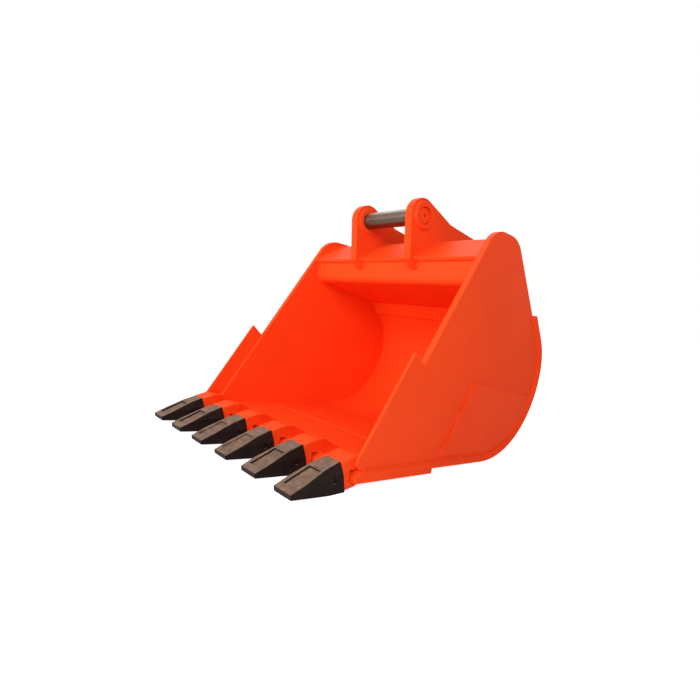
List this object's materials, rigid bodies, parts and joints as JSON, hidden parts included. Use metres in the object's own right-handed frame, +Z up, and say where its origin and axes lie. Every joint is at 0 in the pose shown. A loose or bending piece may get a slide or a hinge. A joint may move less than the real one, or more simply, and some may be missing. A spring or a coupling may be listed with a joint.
{
  "type": "toothed excavator bucket",
  "caption": "Wide welded digging bucket with a curved back, a toothed lip, a closed torque tube and two ears that carry steel hanger pins.",
  "frame": {"origin": "centre of the bounding box, on the floor that the teeth and the heel rest on", "axes": "+X across the bucket to its right-hand side, +Y from the teeth to the heel, +Z up"},
  "size_m": [1.222, 1.4432, 1.139],
  "materials": {
    "orange_paint": "glossy red-orange enamel",
    "bright_steel": "bare turned steel",
    "tooth_iron": "dark cast alloy with a thin brown coat"
  },
  "bodies": {
    "bucket": {"side_plate_left": "orange_paint", "side_plate_right": "orange_paint", "side_cutter_left": "orange_paint", "side_cutter_right": "orange_paint", "side_wear_plate_left": "orange_paint", "side_wear_plate_right": "orange_paint", "wrapper": "orange_paint", "lip": "orange_paint", "tube_shell": "orange_paint", "tube_front": "orange_paint", "ear_left": "orange_paint", "ear_right": "orange_paint", "front_boss_left": "orange_paint", "front_boss_right": "orange_paint", "rear_boss_left": "orange_paint", "rear_boss_right": "orange_paint", "keeper_blocks": "orange_paint", "adapter_1": "orange_paint", "adapter_2": "orange_paint", "adapter_3": "orange_paint", "adapter_4": "orange_paint", "adapter_5": "orange_paint", "adapter_6": "orange_paint", "tooth_1": "tooth_iron", "tooth_2": "tooth_iron", "tooth_3": "tooth_iron", "tooth_4": "tooth_iron", "tooth_5": "tooth_iron", "tooth_6": "tooth_iron", "lock_pin_1": "bright_steel", "lock_pin_2": "bright_steel", "lock_pin_3": "bright_steel", "lock_pin_4": "bright_steel", "lock_pin_5": "bright_steel", "lock_pin_6": "bright_steel", "lock_rings": "bright_steel"},
    "front_hanger_pin": {"front_pin": "bright_steel", "front_keeper_plate": "orange_paint", "front_keeper_bolt": "bright_steel"},
    "rear_hanger_pin": {"rear_pin": "bright_steel", "rear_keeper_plate": "orange_paint", "rear_keeper_bolt": "bright_steel"}
  },
  "joints": [
    {"name": "front_pin_slide", "type": "slide", "parent": "bucket", "child": "front_hanger_pin", "axis": [-1, 0, 0], "range_m": [0, 0.37]},
    {"name": "rear_pin_slide", "type": "slide", "parent": "bucket", "child": "rear_hanger_pin", "axis": [-1, 0, 0], "range_m": [0, 0.37]}
  ]
}
